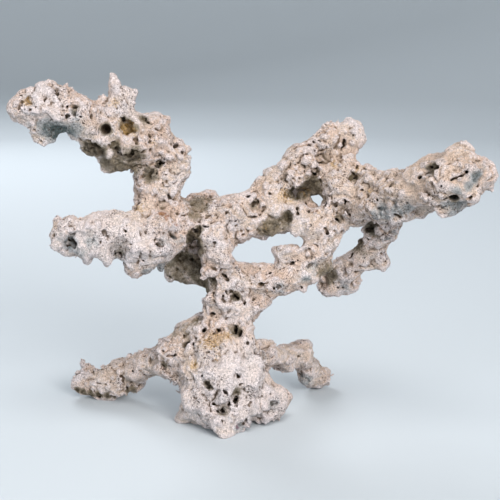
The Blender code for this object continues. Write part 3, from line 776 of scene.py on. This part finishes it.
def limbPiece(name, points, quads, normals, marks, finish):
    used, spots = np.unique(quads, return_inverse=True)
    spots = spots.reshape(quads.shape)
    middles, caps = closeCuts(points[used], spots)
    places = np.concatenate([points[used], middles])
    mesh = bpy.data.meshes.new(name)
    mesh.vertices.add(len(places))
    mesh.vertices.foreach_set("co", (places * mm).ravel())
    mesh.loops.add(spots.size + caps.size)
    mesh.loops.foreach_set("vertex_index", np.concatenate([spots.ravel(), caps.ravel()]))
    mesh.polygons.add(len(spots) + len(caps))
    mesh.polygons.foreach_set("loop_start", np.concatenate([
        np.arange(0, spots.size, 4), spots.size + np.arange(0, caps.size, 3)]))
    mesh.update(calc_edges=True)
    for mark, values in marks.items():
        padded = np.concatenate([values[used], np.ones(len(middles))])
        mesh.attributes.new(mark, "FLOAT", "POINT").data.foreach_set("value", padded.astype(np.float32))
    mesh.shade_smooth()
    upwards = np.tile([0.0, 0, 1], (len(middles), 1))
    mesh.normals_split_custom_set_from_vertices(np.concatenate([normals[used], upwards]))
    mesh.materials.append(finish)
    piece = bpy.data.objects.new(name, mesh)
    bpy.context.scene.collection.objects.link(piece)
    return piece


# A node socket that Python's operators work on: numbers by Math nodes, vectors and colours by Vector Math
class Wire:
    def __init__(self, tree, socket=None):
        self.tree, self.socket = tree, socket

    def node(self, kind, settings, inputs, output=0):
        made = self.tree.nodes.new(kind)
        for name, value in settings.items():
            setattr(made, name, value)
        for name, value in inputs.items():
            if isinstance(value, Wire):
                self.tree.links.new(value.socket, made.inputs[name])
            else:
                made.inputs[name].default_value = value
        return Wire(self.tree, made.outputs[output] if made.outputs else None)

    def join(self, operation, first, second):
        wide = [isinstance(one, Wire) and one.socket.type in ("VECTOR", "RGBA") for one in (first, second)]
        if not any(wide):
            return self.node("ShaderNodeMath", {"operation": operation}, {0: first, 1: second})
        if operation == "MULTIPLY" and not wide[1]:
            return self.node("ShaderNodeVectorMath", {"operation": "SCALE"}, {0: first, "Scale": second})
        return self.node("ShaderNodeVectorMath", {"operation": operation}, {0: first, 1: second})

    def __add__(self, other):
        return self.join("ADD", self, other)

    def __sub__(self, other):
        return self.join("SUBTRACT", self, other)

    def __mul__(self, other):
        return self.join("MULTIPLY", self, other)

    def __rsub__(self, other):
        return self.join("SUBTRACT", other, self)

    __radd__, __rmul__ = __add__, __mul__

    def rise(self, low, high):          # 0 up to low, 1 from high on, and smooth between
        return self.node("ShaderNodeMapRange", {"interpolation_type": "SMOOTHSTEP"},
                         {"Value": self, "From Min": low, "From Max": high})

    def mix(self, first, second, share):
        firstColour, secondColour, mixed = 6, 7, 2     # sockets of the Mix node, by number
        return self.node("ShaderNodeMix", {"data_type": "RGBA"},
                         {0: share, firstColour: first, secondColour: second}, mixed)

    def towards(self, colour, share):
        return self.mix(self, colour, share)


limestone = {
    "cream": (0.80, 0.65, 0.55, 1), "pale": (0.89, 0.80, 0.81, 1), "rosy": (0.74, 0.55, 0.45, 1),
    "tan": (0.74, 0.56, 0.44, 1), "frost": (0.90, 0.805, 0.79, 1), "grey": (0.53, 0.45, 0.39, 1),
    # the greenish brown on the next line is painted shade in sheltered places
    # the pale blue-grey on the next line is painted cool reflection on undersides
    "brown": (0.15, 0.10, 0.06, 1), "oliveShade": (0.21, 0.17, 0.105, 1), "undersideBounce": (0.36, 0.40, 0.42, 1),
    # the dark blue-grey at the end of the next line is painted cool reflection and painted shade on
    # undersides
    "ochre": (0.66, 0.40, 0.11, 1), "rust": (0.36, 0.14, 0.045, 1), "slateBounce": (0.05, 0.08, 0.082, 1),
    # the first very dark brown on the next line is painted shade, with some brown dirt
    "umberShade": (0.05, 0.035, 0.02, 1), "plum": (0.16, 0.05, 0.09, 1), "dark": (0.06, 0.042, 0.03, 1),
    # the blackish tone on the next line is painted shadow deep in holes
    "holeShadow": (0.016, 0.012, 0.009, 1),
    "roughness": 0.93, "polish": 0.12, "shine": 0.25,
    "bumpHeight": 0.0013,      # metres
    "sway": (70.0, 3.0, 0.012),        # scale, detail and metres by which patches are bent
    "noises": {                # scale, detail and roughness
        "broad": (16.0, 4.0, 0.6), "patchy": (55.0, 5.0, 0.65), "clouds": (26.0, 6.0, 0.7),
        "speckle": (420.0, 4.0, 0.8), "grains": (950.0, 2.0, 0.7), "crowd": (34.0, 3.0, 0.6),
        "breaks": (130.0, 5.0, 0.7), "streaks": (330.0, 4.0, 0.75),
    },
    "tones": {                 # where each starts, where it is full, and its share there
        "pale": (0.46, 0.66, 0.75), "grey": (0.54, 0.68, 0.35), "tan": (0.1, 0.8, 0.75),
        "frost": (0.1, 0.8, 0.75), "undersideBounce": (0.0, 1.0, 0.3), "oliveShade": (0.28, 0.75, 0.7),
        "ridgePale": (0.02, 0.4, 0.6), "brown": (0.22, 0.62, 0.85), "holeShadow": (0.55, 0.95, 0.93),
        "shadeCore": (0.6, 1.15, 0.9), "speckle": (0.36, 0.64, 0.36), "grains": (0.34, 0.62, 0.40),
    },
    "rosyFrom": 0.38, "rosyFull": 0.62, "mistFrom": 0.1,
    "tanBreaks": 0.6, "oliveBreaks": 0.3, "brownBreaks": 0.2,
    "shadeWashes": {                # painted shade and painted cool reflection with a soft edge: its colour, where it is full, and its share there
        "slateBounce": ("undersideBounce", 0.75, 0.75), "umberShade": ("oliveShade", 0.7, 0.85),
    },
    "washFrom": 0.1, "washBreaks": 1.5,
    "blots": {"ochre": 0.62, "rust": 0.75, "plum": 0.85},      # streaky stains, and their share
    "blotFrom": 0.4, "blotFull": 1.25, "blotBreaks": 1.4, "blotStreaks": 2.4,
    "markEdge": 0.2,
    "crowdFrom": 0.44, "crowdFull": 0.62,
    "pits": {                  # scale, inner and outer edge, share in a crowd and everywhere
        "dots": (300.0, 0.16, 0.36, 0.75, 0.2), "specks": (640.0, 0.18, 0.42, 0.5, 0.4),
    },
    "dotsDark": 0.85, "specksDark": 0.75,
    "shade": 0.42,             # of the darkest grains
    "bumps": {"speckle": 1.6, "grains": 0.9, "dots": 1.4, "specks": 0.8},
}


def limestoneFinish():
    look = limestone
    material = bpy.data.materials.new("dryLimestone")
    material.use_nodes = True
    tree = material.node_tree
    tree.nodes.clear()
    wire = Wire(tree)
    half = 0.5                 # a noise's middle value

    def noise(name, place):
        scale, detail, roughness = look["noises"][name]
        return wire.node("ShaderNodeTexNoise", {}, {"Vector": place, "Scale": scale, "Detail": detail,
                                                    "Roughness": roughness})

    def mark(name):
        return wire.node("ShaderNodeAttribute", {"attribute_name": name}, {}, "Fac")

    def share(mask, tone):
        low, high, most = look["tones"][tone]
        return mask.rise(low, high) * most

    def pits(name, place):
        scale, inner, outer, crowded, everywhere = look["pits"][name]
        cells = wire.node("ShaderNodeTexVoronoi", {}, {"Vector": place, "Scale": scale, "Randomness": 1.0})
        return (1.0 - cells.rise(inner, outer)) * (crowd * crowded + everywhere)

    place = wire.node("ShaderNodeTexCoord", {}, {}, "Object")
    swayScale, swayDetail, swayWidth = look["sway"]
    sway = wire.node("ShaderNodeTexNoise", {}, {"Vector": place, "Scale": swayScale, "Detail": swayDetail},
                     "Color")
    bent = place + (sway - (half, half, half)) * swayWidth

    # base tones, from broad areas down to patches
    broad, patchy = noise("broad", place), noise("patchy", bent)
    speckle, grains = noise("speckle", place), noise("grains", place)
    colour = wire.mix(look["cream"], look["rosy"], broad.rise(look["rosyFrom"], look["rosyFull"]))
    colour = colour.towards(look["pale"], share(patchy, "pale"))
    colour = colour.towards(look["grey"], share(noise("clouds", bent), "grey"))
    for name in ("tan", "frost"):
        colour = colour.towards(look[name], share(mark(name) + (patchy - half) * look["tanBreaks"], name))

    # hollows go brown, partly dirt and partly painted shade, and blackish deep in as painted shadow;
    # sheltered places take greenish-brown painted shade, undersides a painted cool reflection; ridges go
    # paler
    hollow, shelter = mark("hollow"), mark("shelter")
    geometry = wire.node("ShaderNodeNewGeometry", {}, {}, "Normal")
    facing = wire.node("ShaderNodeSeparateXYZ", {}, {0: geometry}, "Z")
    # painted reflection: downward-facing sides tinted a cool blue-grey
    colour = colour.towards(look["undersideBounce"], share(look["mistFrom"] - facing + (patchy - half), "undersideBounce"))
    # painted shade: greenish brown where much rock lies round a place
    colour = colour.towards(look["oliveShade"], share(shelter + patchy * look["oliveBreaks"], "oliveShade"))
    # ridges and edges, where little rock lies round a point, go paler
    colour = colour.towards(look["pale"], share(0.0 - hollow, "ridgePale"))
    # brown in hollows: partly brown dirt, partly painted shade
    colour = colour.towards(look["brown"], share(hollow + speckle * look["brownBreaks"], "brown"))
    # painted shadow: blackish deep in hollows
    colour = colour.towards(look["holeShadow"], share(hollow, "holeShadow"))

    # stained patches, and soft washes of painted shade and painted cool reflection
    breaks, streaks = noise("breaks", place) - half, noise("streaks", bent) - half
    for name, (edge, full, most) in look["shadeWashes"].items():
        amount = mark(name)
        broken = amount + breaks * look["washBreaks"]
        patches = broken.rise(look["washFrom"], full)
        colour = colour.towards(look[edge], patches * amount.rise(0, look["markEdge"]) * most)
        # the core of a wash: painted shade, with painted cool reflection for the dark blue-grey
        colour = colour.towards(look[name], share(broken, "shadeCore"))
    for name, most in look["blots"].items():
        amount = mark(name)
        broken = amount + breaks * look["blotBreaks"] + streaks * look["blotStreaks"]
        streaky = broken.rise(look["blotFrom"], look["blotFull"])
        colour = colour.towards(look[name], streaky * amount.rise(0, look["markEdge"]) * most)

    # pores: dark dots that crowd in patches, and finer ones between them
    crowd = noise("crowd", place).rise(look["crowdFrom"], look["crowdFull"])
    dots, specks = pits("dots", bent), pits("specks", place)
    colour = colour.towards(look["dark"], dots * look["dotsDark"])
    colour = colour.towards(look["brown"], specks * look["specksDark"])
    colour = colour * (look["shade"] + share(speckle, "speckle") + share(grains, "grains"))

    bumps = look["bumps"]
    height = (speckle * bumps["speckle"] + grains * bumps["grains"]
              - dots * bumps["dots"] - specks * bumps["specks"])
    normal = wire.node("ShaderNodeBump", {}, {
        "Strength": 1.0, "Distance": look["bumpHeight"], "Height": height})
    surface = wire.node("ShaderNodeBsdfPrincipled", {}, {
        "Base Color": colour, "Roughness": look["roughness"] - speckle * look["polish"],
        "Specular IOR Level": look["shine"], "Normal": normal})
    wire.node("ShaderNodeOutputMaterial", {}, {"Surface": surface})
    return material


studio = {
    "floor": (0.56, 0.61, 0.65, 1), "floorRoughness": 0.9,
    "air": (0.80, 0.87, 0.93, 1), "airStrength": 0.3,
    "bowl": [                  # radius and height
        (2.8, 0), (3.6, 0), (4.4, 0.1), (5.1, 0.45), (5.6, 1.0), (5.9, 1.8), (6.0, 3.4),
    ],
    "sides": 72,
    "aim": (0, 0, 0.22),       # where the lights point
    "lights": {                # place, size, watts and colour
        "overhead": ((0.4, -1.5, 3.4), 1.9, 62, (1, 0.965, 0.935)),
        "front": ((2.2, -4.4, 2.3), 2.1, 238, (1, 0.965, 0.935)),
        "left": ((-2.2, -1.9, 0.8), 1.4, 22, (0.95, 0.98, 1)),
        "back": ((-1.2, 3.0, 2.2), 1.8, 76, (0.97, 0.98, 1)),
    },
}


def addFloor():                         # pale, and curved up all round, out of sight of its edge
    count = studio["sides"]
    turns = [2 * math.pi * side / count for side in range(count)]
    corners = [(radius * math.cos(turn), radius * math.sin(turn), height)
               for radius, height in studio["bowl"] for turn in turns]
    faces = [tuple(range(count))]
    for inner in range(0, len(corners) - count, count):
        outer = inner + count
        for side in range(count):
            after = (side + 1) % count
            faces.append((outer + side, outer + after, inner + after, inner + side))
    mesh = bpy.data.meshes.new("floor")
    mesh.from_pydata(corners, [], faces)
    mesh.shade_smooth()
    floor = bpy.data.objects.new("floor", mesh)
    bpy.context.scene.collection.objects.link(floor)
    paper = bpy.data.materials.new("paper")
    paper.use_nodes = True
    shader = paper.node_tree.nodes["Principled BSDF"]
    shader.inputs["Base Color"].default_value = studio["floor"]
    shader.inputs["Roughness"].default_value = studio["floorRoughness"]
    mesh.materials.append(paper)


def addLight():
    world = bpy.data.worlds.new("studio")
    world.use_nodes = True
    air = world.node_tree.nodes["Background"]
    air.inputs["Color"].default_value = studio["air"]
    air.inputs["Strength"].default_value = studio["airStrength"]
    bpy.context.scene.world = world
    for name, (place, width, watts, colour) in studio["lights"].items():
        lamp = bpy.data.lights.new(name, "AREA")
        lamp.size, lamp.energy, lamp.color = width, watts, colour
        light = bpy.data.objects.new(name, lamp)
        light.location = place
        light.rotation_euler = lookingAt(place, studio["aim"])
        light.visible_camera = False
        bpy.context.scene.collection.objects.link(light)
    bpy.context.scene.view_settings.view_transform = "Standard"


rockNoise = {"size": 96, "width": 4.0, "seed": 31}     # makes the edges of spurs, hollows and pores ragged

# How deep a place lies in the rock, told from how much rock is round it: width of what counts, and gain
depths = {"hollow": (2.6, 3), "shelter": (9, 2)}


def carveRock(coarse, step):            # the rock with all its relief, from its rough form
    rock = Field(coarse.low, step, finer(coarse.data))
    points, quads = skinOf(coarse)
    normals = normalsOf(points, quads)
    addChips(rock, points, normals)
    print("chips and lumps done")
    addRelief(rock)
    rough = noiseTile(rockNoise["size"], rockNoise["width"], step, rockNoise["seed"])
    addSpurs(rock, rough)
    addHollows(rock, coarse, rough)
    addPores(rock, points, normals, rough)
    heights = (rock.low[2] + np.arange(rock.data.shape[2]) * step).astype(np.float32)
    rock.data = np.maximum(rock.data, -heights)        # flat where it stands on the floor
    return rock


def addRock():
    cadPoints, triangles, owners = cadTriangles()
    step = form["grain"]
    coarse = coarseField(cadPoints, triangles, step * 2)
    correctOutline(coarse)
    print("rock's rough form:", coarse.data.shape)
    rock = carveRock(coarse, step)
    points, quads = skinOf(rock)
    quads = mainBody(points, quads)
    points[:, 2] = np.maximum(points[:, 2], 0)
    print("rock's skin:", len(quads), "quads")
    marks = stainAndShadeMarks(coarse, points)
    # these two depths lead the finish's painted shade in pits and sheltered places
    for mark, (width, gain) in depths.items():
        marks[mark] = (fillAround(rock, width).at(points) - 0.5) * gain
    names = sorted(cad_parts)
    limb = limbNumbers(points, quads, names, cadPoints, triangles, owners)
    normals = normalsOf(points, quads)
    finish = limestoneFinish()
    for number, name in enumerate(names):
        piece = limbPiece(name + "_stone", points, quads[limb == number], normals, marks, finish)
        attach(piece, "root")
        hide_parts(name)
    print("rock parted into", len(names), "limbs")


addCamera()
addFloor()
addLight()
addRock()
